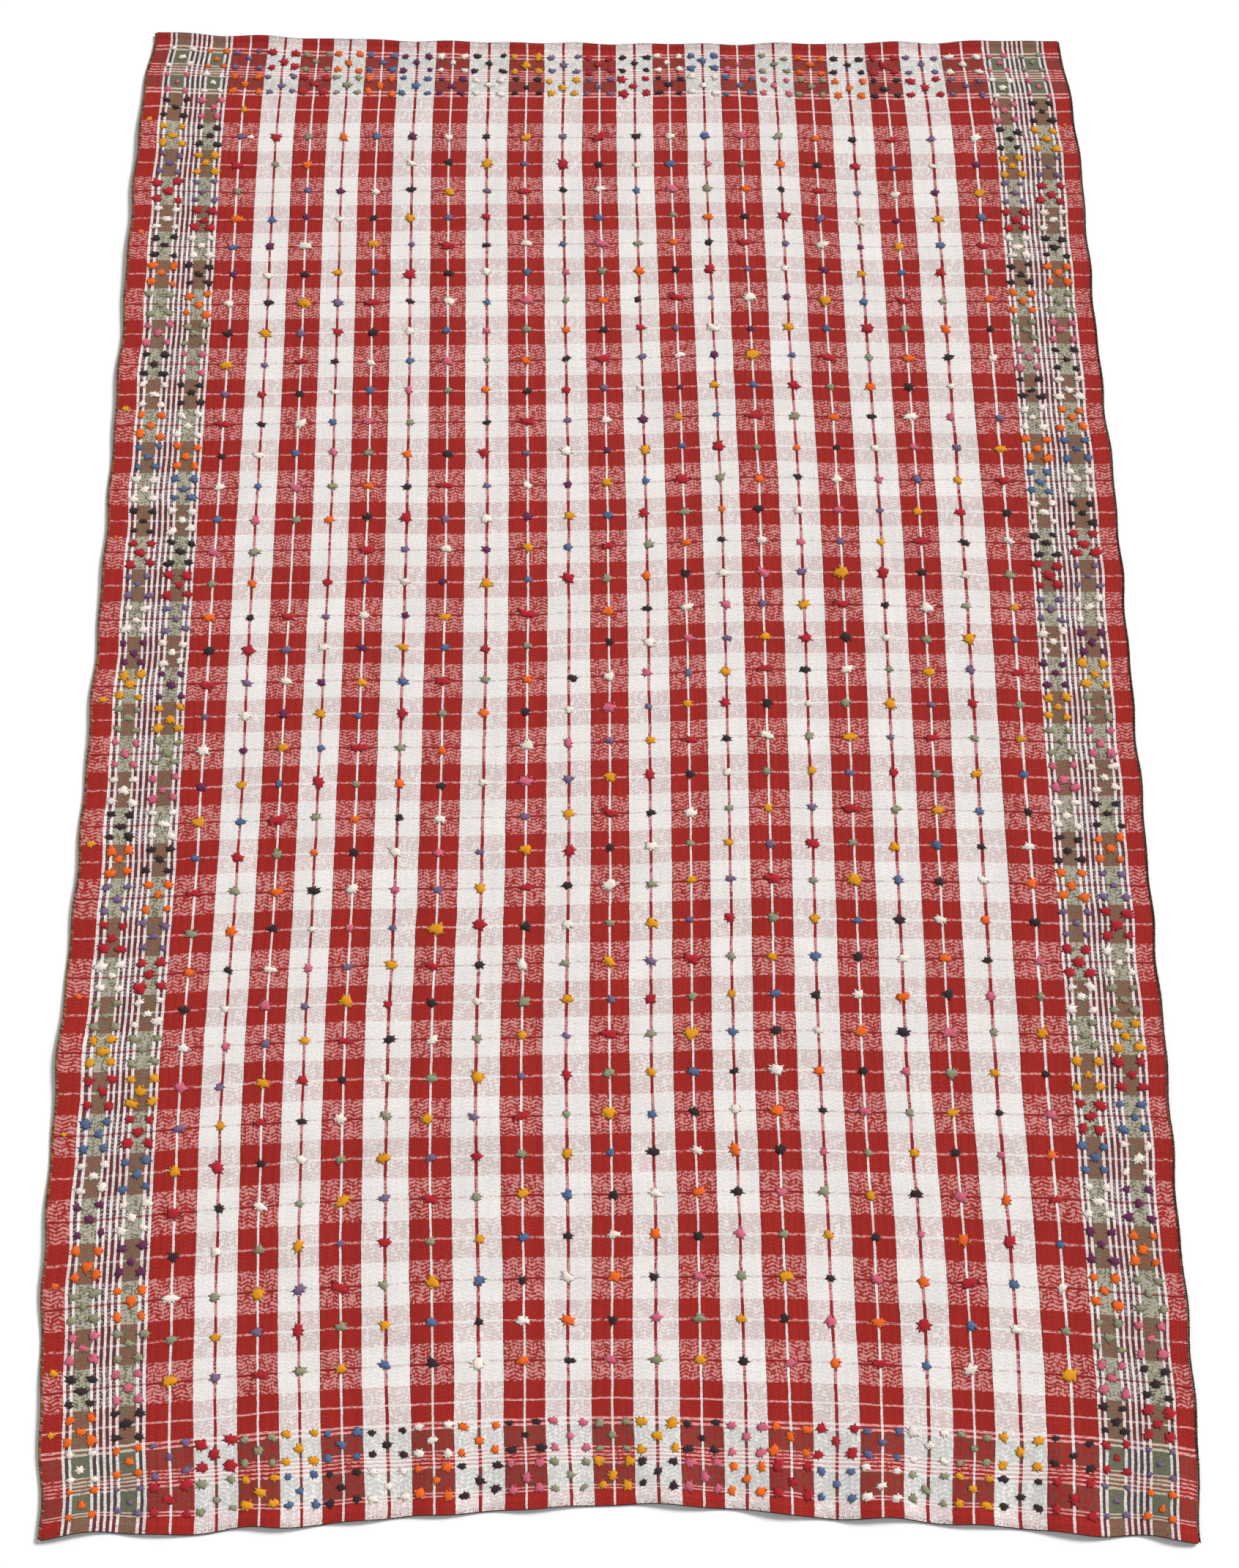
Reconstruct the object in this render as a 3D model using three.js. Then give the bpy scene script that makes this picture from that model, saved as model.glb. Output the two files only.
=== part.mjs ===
import * as THREE from 'three';

// A flat woven rug laid on the floor. Millimetres, +X across, +Y towards the far end, +Z up.
// The origin is under the middle of the rug, on the floor.
const halfLength = 1295;
const clothThickness = 2.4;
const hem = { depth: 11, step: 2.5, extraThickness: 1 };
const seamGap = 0.3;
const sideWhipping = { width: 5, height: 3.6, color: 0x6b3a22 };
const endWhipping = { width: 3.4, height: 3.4, color: 0x3a2b26 };
const clothRed = 0xa9282b;
const acrossSteps = 50;
const alongSteps = 38;
const endCrowding = 1.5;

// The cloth as it was pulled on the loom, at stations along the rug:
// left and right are the half widths, drift moves the middle of the cloth to the right,
// squeeze spreads the quarter points apart, tilt raises the right end of a weft row
// and arch raises its middle.
const stations = [
  { along: 1295, left: 837, right: 839, drift: -12, squeeze: 6, tilt: 0, arch: -16 },
  { along: 1190, left: 847, right: 849, drift: -12, squeeze: 0, tilt: 3, arch: -6 },
  { along: 1050, left: 852, right: 858, drift: -13, squeeze: 0, tilt: 6, arch: 4 },
  { along: 850, left: 854, right: 858, drift: -10, squeeze: 0, tilt: 9, arch: 11 },
  { along: 600, left: 854, right: 860, drift: -6, squeeze: 0, tilt: 15, arch: 8 },
  { along: 300, left: 854, right: 865, drift: -2, squeeze: 0, tilt: 18, arch: 3 },
  { along: 0, left: 856, right: 863, drift: -1, squeeze: 0, tilt: 21, arch: 6 },
  { along: -300, left: 858, right: 862, drift: -2, squeeze: 0, tilt: 18, arch: 11 },
  { along: -600, left: 865, right: 862, drift: -5, squeeze: 0, tilt: 18, arch: 14 },
  { along: -850, left: 863, right: 858, drift: -2, squeeze: 2, tilt: 16, arch: 31 },
  { along: -1050, left: 854, right: 858, drift: 0, squeeze: -4, tilt: 10, arch: 42 },
  { along: -1180, left: 844, right: 855, drift: 2, squeeze: -16, tilt: 5, arch: 46 },
  { along: -1295, left: 837, right: 846, drift: 4, squeeze: -26, tilt: 0, arch: 48 },
];

// Places where an edge stands a little off the floor, each on one stretch of that edge.
const nearEndLifts = [
  { at: -800, reach: 72, lift: 7 },
  { at: -672, reach: 60, lift: 4 },
  { at: -505, reach: 74, lift: 6 },
  { at: -378, reach: 52, lift: 5 },
  { at: -262, reach: 64, lift: 4 },
  { at: -112, reach: 78, lift: 5 },
  { at: 92, reach: 70, lift: 6 },
  { at: 236, reach: 72, lift: 7 },
  { at: 380, reach: 70, lift: 8 },
  { at: 522, reach: 66, lift: 5 },
  { at: 668, reach: 76, lift: 7 },
  { at: 815, reach: 62, lift: 6 },
];
const farEndLifts = [
  { at: -790, reach: 80, lift: 4 },
  { at: -610, reach: 70, lift: 5 },
  { at: -470, reach: 66, lift: 3 },
  { at: -330, reach: 70, lift: 4 },
  { at: -165, reach: 84, lift: 5 },
  { at: 30, reach: 80, lift: 3 },
  { at: 190, reach: 72, lift: 4 },
  { at: 345, reach: 74, lift: 5 },
  { at: 520, reach: 84, lift: 4 },
  { at: 690, reach: 78, lift: 3 },
];
const leftSideLifts = [
  { at: 905, reach: 150, lift: 3 },
  { at: 560, reach: 120, lift: 2 },
  { at: 90, reach: 170, lift: 2.5 },
  { at: -250, reach: 130, lift: 3 },
  { at: -560, reach: 150, lift: 4.5 },
  { at: -880, reach: 140, lift: 4 },
  { at: -1120, reach: 90, lift: 3 },
];
const rightSideLifts = [
  { at: 930, reach: 130, lift: 2 },
  { at: 420, reach: 180, lift: 2.5 },
  { at: -180, reach: 150, lift: 2 },
  { at: -620, reach: 160, lift: 3 },
  { at: -1010, reach: 130, lift: 3.5 },
];
const endLiftDepth = 150;
const sideLiftDepth = 95;
const notchPerLift = 0.6;

// Low soft ridges in the cloth: the middle of each, its heading from +X and its sizes.
const ridges = [
  { x: -330, y: -700, heading: 2, halfLength: 430, halfWidth: 85, height: 3 },
  { x: 330, y: -880, heading: -9, halfLength: 300, halfWidth: 75, height: 2.4 },
  { x: -430, y: 560, heading: 24, halfLength: 300, halfWidth: 110, height: 2.2 },
  { x: 430, y: 800, heading: 12, halfLength: 320, halfWidth: 95, height: 2.4 },
  { x: 620, y: 60, heading: 98, halfLength: 330, halfWidth: 90, height: 2.2 },
  { x: -640, y: -90, heading: 82, halfLength: 300, halfWidth: 85, height: 2 },
  { x: 120, y: -1085, heading: 4, halfLength: 420, halfWidth: 70, height: 2.6 },
  { x: -60, y: 1120, heading: -3, halfLength: 460, halfWidth: 75, height: 2 },
];

// Slope of a column of the table at one of its rows, zero at a high or low point.
function stationSlope(key, row) {
  const before = stations[row - 1];
  const here = stations[row];
  const after = stations[row + 1];
  if (!before || !after) {
    return 0;
  }
  const slopeBefore = (here[key] - before[key]) / (here.along - before.along);
  const slopeAfter = (after[key] - here[key]) / (after.along - here.along);
  if (slopeBefore * slopeAfter <= 0) {
    return 0;
  }
  return (2 * slopeBefore * slopeAfter) / (slopeBefore + slopeAfter);
}

// Smooth value of one column of the table, which never passes its neighbours.
function atStation(key, along) {
  const last = stations.length - 1;
  let row = stations.findIndex((station) => station.along < along) - 1;
  if (row < 0) {
    row = along > 0 ? 0 : last - 1;
  }
  const start = stations[row];
  const end = stations[row + 1];
  const span = end.along - start.along;
  const t = THREE.MathUtils.clamp((along - start.along) / span, 0, 1);
  const keepStart = (1 + 2 * t) * (1 - t) * (1 - t);
  const leaveStart = t * (1 - t) * (1 - t) * span;
  const reachEnd = t * t * (3 - 2 * t);
  const slowEnd = t * t * (t - 1) * span;
  return keepStart * start[key] + leaveStart * stationSlope(key, row)
    + reachEnd * end[key] + slowEnd * stationSlope(key, row + 1);
}

// One soft swell: 1 in the middle and 0 from the given reach on.
function swell(distance, reach) {
  const share = Math.min(Math.abs(distance) / reach, 1);
  return (1 - share * share) ** 2;
}

function edgeLift(lifts, place) {
  return lifts.reduce((sum, row) => sum + row.lift * swell(place - row.at, row.reach), 0);
}

function ridgeHeight(x, y) {
  return ridges.reduce((sum, ridge) => {
    const heading = THREE.MathUtils.degToRad(ridge.heading);
    const along = (x - ridge.x) * Math.cos(heading) + (y - ridge.y) * Math.sin(heading);
    const aside = (y - ridge.y) * Math.cos(heading) - (x - ridge.x) * Math.sin(heading);
    return sum + ridge.height * swell(along, ridge.halfLength) * swell(aside, ridge.halfWidth);
  }, 0);
}

// A point of the cloth's underside: across runs from -1 to 1, along in millimetres.
function underside(across, along) {
  const halfWidth = atStation(across < 0 ? 'left' : 'right', along);
  const inside = 1 - across * across;
  const x = across * halfWidth
    + inside * (atStation('drift', along) + across * atStation('squeeze', along));
  const nearLift = edgeLift(nearEndLifts, x) * swell(along + halfLength, endLiftDepth);
  const farLift = edgeLift(farEndLifts, x) * swell(along - halfLength, endLiftDepth);
  const sideLifts = across < 0 ? leftSideLifts : rightSideLifts;
  const fromSide = (1 - Math.abs(across)) * halfWidth;
  const sideLift = edgeLift(sideLifts, along) * swell(fromSide, sideLiftDepth);
  const bow = across * atStation('tilt', along) + inside * atStation('arch', along);
  const y = along + bow + notchPerLift * (nearLift - farLift) * inside;
  return new THREE.Vector3(x, y, nearLift + farLift + sideLift + ridgeHeight(x, y));
}

// Lines along the rug lie closer together towards its two ends, where the cloth ripples.
function alongLine(step) {
  const t = (2 * step) / alongSteps - 1;
  return Math.sign(t) * halfLength * (1 - (1 - Math.abs(t)) ** endCrowding);
}

function acrossLine(step) {
  return (2 * step) / acrossSteps - 1;
}

const hemLines = [hem.depth, hem.depth + hem.step].map((inset) => halfLength - inset);
const alongLines = Array.from({ length: alongSteps + 1 }, (_, step) => alongLine(step))
  .concat(hemLines, hemLines.map((along) => -along))
  .sort((a, b) => a - b);
const acrossLines = Array.from({ length: acrossSteps + 1 }, (_, step) => acrossLine(step));

// The turned-in hem at each end is a second layer on the cloth.
function thicknessAt(along) {
  const inset = halfLength - Math.abs(along);
  const layered = THREE.MathUtils.clamp((hem.depth + hem.step - inset) / hem.step, 0, 1);
  return clothThickness + hem.extraThickness * layered;
}

function bodyFrom(points, triangles) {
  const positions = points.flatMap((point) => point.toArray());
  const geometry = new THREE.BufferGeometry();
  geometry.setAttribute('position', new THREE.Float32BufferAttribute(positions, 3));
  geometry.setIndex(triangles);
  return geometry;
}

// The numbers of the grid's outer points, once round and seen from above against the clock.
function rimOfGrid(rowLength) {
  const rows = alongLines.length - 1;
  const rim = [];
  for (let column = 0; column < acrossSteps; column += 1) {
    rim.push(column);
  }
  for (let row = 0; row < rows; row += 1) {
    rim.push(row * rowLength + acrossSteps);
  }
  for (let column = acrossSteps; column > 0; column -= 1) {
    rim.push(rows * rowLength + column);
  }
  for (let row = rows; row > 0; row -= 1) {
    rim.push(row * rowLength);
  }
  return rim;
}

// The cloth: a lower and an upper sheet of the same grid, closed by a wall round the rim.
function clothGeometry() {
  const lower = alongLines.flatMap((along) => acrossLines.map((across) => underside(across, along)));
  const upper = alongLines.flatMap((along) => acrossLines.map((across) => (
    underside(across, along).add(new THREE.Vector3(0, 0, thicknessAt(along)))
  )));
  const rowLength = acrossSteps + 1;
  const top = lower.length;
  const triangles = [];
  for (let row = 0; row < alongLines.length - 1; row += 1) {
    for (let column = 0; column < acrossSteps; column += 1) {
      const a = row * rowLength + column;
      const b = a + 1;
      const c = b + rowLength;
      const d = a + rowLength;
      triangles.push(a, c, b, a, d, c);
      triangles.push(top + a, top + b, top + c, top + a, top + c, top + d);
    }
  }
  const rim = rimOfGrid(rowLength);
  rim.forEach((a, index) => {
    const b = rim[(index + 1) % rim.length];
    triangles.push(a, b, top + b, a, top + b, top + a);
  });
  return bodyFrom(lower.concat(upper), triangles);
}

// The whipping's section as shares of its width and height: flat below, with cut corners.
const cut = 0.3;
const whippingSection = [
  [-0.5 + cut, 0],
  [0.5 - cut, 0],
  [0.5, cut],
  [0.5, 1 - cut],
  [0.5 - cut, 1],
  [-0.5 + cut, 1],
  [-0.5, 1 - cut],
  [-0.5, cut],
];

// A whipped edge is a cord beside the cloth. It follows the edge's points, which have
// the cloth on their left, and outX and outY point from the cloth to the cord.
function whippingGeometry({ edge, outX, outY, size }) {
  const sides = whippingSection.length;
  const points = edge.flatMap((point) => whippingSection.map(([aside, up]) => {
    const out = seamGap + (0.5 + aside) * size.width;
    return new THREE.Vector3(point.x + outX * out, point.y + outY * out, point.z + up * size.height);
  }));
  const triangles = [];
  for (let step = 0; step < edge.length - 1; step += 1) {
    for (let side = 0; side < sides; side += 1) {
      const a = step * sides + side;
      const b = step * sides + ((side + 1) % sides);
      triangles.push(a, b + sides, b, a, a + sides, b + sides);
    }
  }
  const last = (edge.length - 1) * sides;
  for (let side = 1; side < sides - 1; side += 1) {
    triangles.push(0, side, side + 1);
    triangles.push(last, last + side + 1, last + side);
  }
  return bodyFrom(points, triangles);
}

const sideEdge = (across) => alongLines.map((along) => underside(across, along));
const endEdge = (along) => acrossLines.map((across) => underside(across, along));
const whippings = [
  { name: 'side_whipping_left', edge: sideEdge(-1).reverse(), outX: -1, outY: 0, size: sideWhipping },
  { name: 'side_whipping_right', edge: sideEdge(1), outX: 1, outY: 0, size: sideWhipping },
  { name: 'end_whipping_near', edge: endEdge(-halfLength), outX: 0, outY: -1, size: endWhipping },
  { name: 'end_whipping_far', edge: endEdge(halfLength).reverse(), outX: 0, outY: 1, size: endWhipping },
];

function wool(color) {
  return new THREE.MeshStandardMaterial({ color, roughness: 0.95, metalness: 0 });
}

function named(name, geometry, material) {
  const mesh = new THREE.Mesh(geometry, material);
  mesh.name = name;
  return mesh;
}

const rug = new THREE.Group();
rug.add(named('cloth', clothGeometry(), wool(clothRed)));
whippings.forEach((whipping) => {
  rug.add(named(whipping.name, whippingGeometry(whipping), wool(whipping.size.color)));
});

export default rug;
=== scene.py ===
import bpy
import math
import random
import numpy as np
from mathutils import Matrix, Vector


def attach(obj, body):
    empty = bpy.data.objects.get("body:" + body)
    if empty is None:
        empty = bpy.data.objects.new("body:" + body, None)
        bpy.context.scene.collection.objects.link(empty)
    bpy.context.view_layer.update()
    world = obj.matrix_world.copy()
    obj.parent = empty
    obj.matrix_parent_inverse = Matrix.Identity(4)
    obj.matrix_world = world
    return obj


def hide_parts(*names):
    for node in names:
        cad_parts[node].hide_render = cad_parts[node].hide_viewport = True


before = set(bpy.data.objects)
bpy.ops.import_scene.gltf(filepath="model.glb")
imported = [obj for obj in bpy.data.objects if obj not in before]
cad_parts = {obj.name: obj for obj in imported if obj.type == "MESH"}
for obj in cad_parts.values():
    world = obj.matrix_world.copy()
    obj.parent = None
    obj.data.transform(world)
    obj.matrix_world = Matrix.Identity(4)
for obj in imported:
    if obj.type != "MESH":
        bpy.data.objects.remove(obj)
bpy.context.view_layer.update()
scene = bpy.context.scene
mm = 0.001   # the rug is drawn up in millimetres and built in metres

cameraView = {
    "place": (-0.1277, -0.9431, 2.7611),
    "forward": (0.00582, 0.27578, -0.9612),
    "right": (0.99997, 0.00382, 0.00715),
    "lens": 40.336,
    "sensorWidth": 36,
    "shift": 0.0479,
    "nearest": 0.05,
    "farthest": 100,
}


def addCamera():
    forward = Vector(cameraView["forward"]).normalized()
    right = Vector(cameraView["right"])
    right = (right - right.dot(forward) * forward).normalized()
    turned = Matrix((right, right.cross(forward), -forward)).transposed()
    bpy.ops.object.camera_add(location=cameraView["place"], rotation=turned.to_euler())
    camera = bpy.context.object
    camera.data.lens = cameraView["lens"]
    camera.data.sensor_width = cameraView["sensorWidth"]
    camera.data.shift_x = cameraView["shift"]
    camera.data.clip_start = cameraView["nearest"]
    camera.data.clip_end = cameraView["farthest"]
    scene.camera = camera
    print("camera placed")


studio = {
    "skyColor": (1, 1, 1, 1),
    "skyStrength": 0.40,
    "keyStrength": 3.60,
    "keyFrom": (0.62, 0.55, 0.57),
    "keyAway": 4,
    "keyAngle": 15,
    "floorSize": 80,
    "floorDrop": 0.0002,
    "floorFinish": {"Base Color": (0.97, 0.97, 0.97, 1), "Roughness": 0.9, "Specular IOR Level": 0.1},
}


def newMaterial(name, finish):
    paint = bpy.data.materials.new(name)
    paint.use_nodes = True
    shader = paint.node_tree.nodes["Principled BSDF"]
    for socket, value in finish.items():
        shader.inputs[socket].default_value = value
    return paint, paint.node_tree, shader


def addStudio():
    world = bpy.data.worlds.new("studioSky")
    world.use_nodes = True
    sky = world.node_tree.nodes["Background"]
    sky.inputs["Color"].default_value = studio["skyColor"]
    sky.inputs["Strength"].default_value = studio["skyStrength"]
    scene.world = world
    scene.view_settings.view_transform = "Standard"
    keyFrom = Vector(studio["keyFrom"])
    bpy.ops.object.light_add(type="SUN", location=keyFrom * studio["keyAway"],
                             rotation=(-keyFrom).to_track_quat("-Z", "Y").to_euler())
    key = bpy.context.object
    key.data.energy = studio["keyStrength"]
    key.data.angle = math.radians(studio["keyAngle"])
    bpy.ops.mesh.primitive_plane_add(size=studio["floorSize"], location=(0, 0, -studio["floorDrop"]))
    floor = bpy.context.object
    floor.name = "studioFloor"
    floor.data.materials.append(newMaterial("floorPaint", studio["floorFinish"])[0])
    print("studio lit")


def selectNone():
    if bpy.context.object and bpy.context.object.mode != "OBJECT":
        bpy.ops.object.mode_set(mode="OBJECT")
    bpy.ops.object.select_all(action="DESELECT")


addCamera()
addStudio()
selectNone()

# The shape of the cloth, in millimetres, at stations along the rug: the half widths, how far
# the middle drifts, how the quarters spread, and how a weft row tilts and arches.
stations = {
    "along":   [-1295, -1180, -1050, -850, -600, -300, 0, 300, 600, 850, 1050, 1190, 1295],
    "left":    [837, 844, 854, 863, 865, 858, 856, 854, 854, 854, 852, 847, 837],
    "right":   [846, 855, 858, 858, 862, 862, 863, 865, 860, 858, 858, 849, 839],
    "drift":   [4, 2, 0, -2, -5, -2, -1, -2, -6, -10, -13, -12, -12],
    "squeeze": [-6, 0, 0, 2, 0, 0, 0, 0, 0, 0, 0, 0, 6],
    "tilt":    [0, 5, 10, 16, 18, 18, 21, 18, 15, 9, 6, 3, 0],
    "arch":    [48, 46, 42, 31, 14, 11, 6, 3, 8, 11, 4, -6, -16],
}
# Places where an edge stands off the floor: at, reach, lift.
nearEndLifts = [(-800, 72, 7), (-672, 60, 4), (-505, 74, 6), (-378, 52, 5), (-262, 64, 4), (-112, 78, 5),
                (92, 70, 6), (236, 72, 7), (380, 70, 8), (522, 66, 5), (668, 76, 7), (815, 62, 6)]
farEndLifts = [(-790, 80, 4), (-610, 70, 5), (-470, 66, 3), (-330, 70, 4), (-165, 84, 5),
               (30, 80, 3), (190, 72, 4), (345, 74, 5), (520, 84, 4), (690, 78, 3)]
leftSideLifts = [(1060, 190, 6), (830, 190, 6.5), (560, 210, 5), (250, 190, 4), (-30, 200, 3.5),
                 (-300, 170, 4), (-580, 170, 5), (-880, 160, 4.5), (-1120, 110, 4)]
rightSideLifts = [(930, 130, 2), (420, 180, 2.5), (-180, 150, 2), (-620, 160, 3), (-1010, 130, 3.5)]
# Places where the near end's edge sags past its bow: at, reach, sag.
nearEndSags = [(-640, 120, 7), (-520, 240, 12), (-330, 240, 10), (-150, 150, 5),
               (290, 200, 11), (520, 230, 8), (680, 110, 5)]
# Low soft ridges: x, y, heading, half length, half width, height.
ridges = [(-330, -700, 2, 430, 85, 3), (330, -880, -9, 300, 75, 2.4), (-430, 560, 24, 300, 110, 2.2),
          (430, 800, 12, 320, 95, 2.4), (620, 60, 98, 330, 90, 2.2), (-640, -90, 82, 300, 85, 2),
          (120, -1085, 4, 420, 70, 2.6), (-60, 1120, -3, 460, 75, 2)]
# Where the weave is drawn off its line: x, y, reach across and along, sideways, lengthways.
pulls = [(230, 150, 210, 1500, 0, 7), (-210, 0, 240, 900, 0, -5), (800, 0, 260, 800, 0, -8),
         (420, 60, 120, 420, 0, 4), (-800, 850, 170, 520, 5, 5), (-790, -560, 190, 560, 6, -3),
         (480, 960, 170, 330, 0, -6), (-20, -1160, 260, 160, 0, 4), (730, -1190, 180, 110, 0, 5),
         (-430, -730, 190, 260, 0, 3), (-480, -120, 210, 620, -3, 0), (790, 200, 190, 1300, -4, 0),
         (520, -960, 280, 360, 6, 0), (10, -1150, 210, 330, -6, 0), (-620, 230, 130, 420, -4, 0),
         (600, 900, 170, 560, 4, 0), (160, 1230, 230, 110, 0, 7), (-220, -980, 160, 260, 3, 2),
         (-660, -900, 160, 230, 3, 0), (-838, -250, 62, 1500, 8, 0)]
clothShape = {
    "halfLength": 1295,
    "endLength": 1690,   # along an end, from corner to corner
    "thickness": 2.4,
    "hemDepth": 11,
    "hemStep": 2.5,
    "hemExtra": 1.0,
    "endLiftDepth": 150,
    "sagDepth": 65,
    "sideLiftDepth": 95,
    "notchPerLift": 0.6,
    "seamGap": 0.3,
    "pullFade": 45,
    "wander": 1.25,   # how far an edge strays from its line
    "wanderWaves": (19, 31),
    "wanderShift": 2.3,
    "wanderStarts": {"near": 1.9, "far": 4.4, "left": 0.6, "right": 3.1},
    "endHold": 31,   # the higher, the closer to the edge its straying stays
    "sideHold": 9,
}


def atStation(key, along):
    places = np.array(stations["along"], float)
    values = np.array(stations[key], float)
    rise = np.diff(values) / np.diff(places)
    slopes = np.zeros(len(values))
    sameWay = rise[:-1] * rise[1:] > 0
    total = np.where(sameWay, rise[:-1] + rise[1:], 1)
    slopes[1:-1] = np.where(sameWay, 2 * rise[:-1] * rise[1:] / total, 0)
    row = np.clip(np.searchsorted(places, along) - 1, 0, len(places) - 2)
    span = places[row + 1] - places[row]
    t = np.clip((along - places[row]) / span, 0, 1)
    return ((1 + 2 * t) * (1 - t) ** 2 * values[row] + t * (1 - t) ** 2 * span * slopes[row]
            + t * t * (3 - 2 * t) * values[row + 1] + t * t * (t - 1) * span * slopes[row + 1])


def swell(distance, reach):
    share = np.minimum(np.abs(distance) / reach, 1)
    return (1 - share * share) ** 2


def edgeLift(lifts, place):
    return sum(lift * swell(place - at, reach) for at, reach, lift in lifts)


def edgeWander(place, start):
    short, long = clothShape["wanderWaves"]
    waves = np.sin(place / short + start) + np.sin(place / long + clothShape["wanderShift"] * start)
    return clothShape["wander"] * waves


def ridgeHeight(x, y):
    height = np.zeros_like(x)
    for ridgeX, ridgeY, heading, halfLength, halfWidth, lift in ridges:
        turn = math.radians(heading)
        along = (x - ridgeX) * math.cos(turn) + (y - ridgeY) * math.sin(turn)
        aside = (y - ridgeY) * math.cos(turn) - (x - ridgeX) * math.sin(turn)
        height += lift * swell(along, halfLength) * swell(aside, halfWidth)
    return height


def pulled(x, y, fromSide, fromEnd):
    sideways, lengthways = np.zeros_like(x), np.zeros_like(y)
    for pullX, pullY, reachX, reachY, moveX, moveY in pulls:
        share = swell(x - pullX, reachX) * swell(y - pullY, reachY)
        sideways = sideways + share * moveX
        lengthways = lengthways + share * moveY
    fade = clothShape["pullFade"]
    return x + sideways * np.clip(fromSide / fade, 0, 1), y + lengthways * np.clip(fromEnd / fade, 0, 1)


def underside(across, along):
    shape, starts = clothShape, clothShape["wanderStarts"]
    onLeft, onNear = across < 0, along < 0
    fromNear, fromFar = along + shape["halfLength"], along - shape["halfLength"]
    halfWidth = np.where(onLeft, atStation("left", along), atStation("right", along))
    fromSide = (1 - np.abs(across)) * halfWidth
    inside = 1 - across ** 2
    x = across * halfWidth + inside * (atStation("drift", along) + across * atStation("squeeze", along))
    nearLift = edgeLift(nearEndLifts, x) * swell(fromNear, shape["endLiftDepth"])
    farLift = edgeLift(farEndLifts, x) * swell(fromFar, shape["endLiftDepth"])
    sideLift = np.where(onLeft, edgeLift(leftSideLifts, along), edgeLift(rightSideLifts, along))
    sideLift = sideLift * swell(fromSide, shape["sideLiftDepth"])
    bow = across * atStation("tilt", along) + inside * atStation("arch", along)
    y = along + bow + shape["notchPerLift"] * (nearLift - farLift) * inside
    y = y - edgeLift(nearEndSags, x) * swell(fromNear, shape["sagDepth"])
    strays = edgeWander(x, np.where(onNear, starts["near"], starts["far"]))
    y = y + (along / shape["halfLength"]) ** shape["endHold"] * strays
    strays = edgeWander(along, np.where(onLeft, starts["left"], starts["right"]))
    x = x + across ** shape["sideHold"] * strays
    x, y = pulled(x, y, fromSide, shape["halfLength"] - np.abs(along))
    return x, y, nearLift + farLift + sideLift + ridgeHeight(x, y)


def hemShare(along):
    inset = clothShape["halfLength"] - np.abs(along)
    return np.clip((clothShape["hemDepth"] + clothShape["hemStep"] - inset) / clothShape["hemStep"], 0, 1)


# The loom's own count: columns from the left edge of the field, rows down from its far edge.
loom = {
    "columns": 21,
    "rows": 37,
    "sideColumns": 2.25,        # depth of a side border, counted in columns
    "endRows": 3.0,             # depth of an end band, counted in rows
    "flatSize": (1.72, 2.59),   # the cloth laid straight, in metres
    "halfWidths": (856, 863),   # of the cloth, left and right of its middle
    "leftEdgeAt": -704,
    "farEdgeAt": 1106,
    "nearEdgeAt": -1120,
    "columnWidths": [70, 65, 62, 62, 63, 71, 64, 75, 66, 72, 63, 68, 62, 65, 67, 69, 65, 73, 62, 79, 79],
    "whiteRows": [61, 59, 56, 60, 60, 60, 61, 59, 62, 60, 62, 61, 65, 62, 60, 65, 68, 66, 61],
    "redRows": [57, 56, 55, 55, 55, 58, 57, 59, 56, 57, 62, 57, 63, 58, 66, 65, 65, 61],
    "endBands": [0.9, 1.1, 1.55, 1.95, 2.4, 2.6, 3.0],
    "nearBandDepths": [54, 66, 96, 121, 148, 154, 174.7],
    "farBandDepths": [59, 73, 98, 124, 151, 163, 189],
}
allColumns = loom["columns"] + 2 * loom["sideColumns"]
allRows = loom["rows"] + 2 * loom["endRows"]
middleColumn = loom["columns"] / 2
middleRow = loom["rows"] / 2


def loomLines():
    edges = loom["leftEdgeAt"] + np.concatenate([[0], np.cumsum(loom["columnWidths"])])
    left, right = loom["halfWidths"]
    across = np.concatenate([[-1], np.where(edges < 0, edges / left, edges / right), [1]])
    side = loom["sideColumns"]
    columns = np.concatenate([[-side], np.arange(loom["columns"] + 1), [loom["columns"] + side]])
    heights = np.zeros(loom["rows"])
    heights[0::2] = loom["whiteRows"]
    heights[1::2] = loom["redRows"]
    depth = np.concatenate([[0], np.cumsum(heights)]) / heights.sum()
    starts = loom["farEdgeAt"] - depth * (loom["farEdgeAt"] - loom["nearEdgeAt"])
    end = clothShape["halfLength"]
    far, near, bands = (np.array(loom[key]) for key in ("farBandDepths", "nearBandDepths", "endBands"))
    far = starts[0] + far * (end - starts[0]) / far[-1]
    near = starts[-1] - near * (end + starts[-1]) / near[-1]
    rows = np.concatenate([-bands[::-1], np.arange(loom["rows"] + 1), loom["rows"] + bands])
    along = np.concatenate([far[::-1], starts, near])
    return columns, across, rows, along


loomColumns, loomAcross, loomRows, loomAlong = loomLines()


def clothPoint(column, row, lift=0.0):
    across = np.interp(column, loomColumns, loomAcross)
    along = np.interp(row, loomRows, loomAlong)
    x, y, z = underside(across, along)
    top = clothShape["thickness"] + clothShape["hemExtra"] * hemShare(along)
    return np.stack([x, y, z + top + lift], -1) * mm


def feed(tree, socket, value):
    if isinstance(value, bpy.types.NodeSocket):
        tree.links.new(value, socket)
    else:
        socket.default_value = value


def addNode(tree, kind, inputs=None, **settings):
    made = tree.nodes.new(kind)
    for name, value in settings.items():
        setattr(made, name, value)
    for name, value in (inputs or {}).items():
        feed(tree, made.inputs[name], value)
    return made


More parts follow.
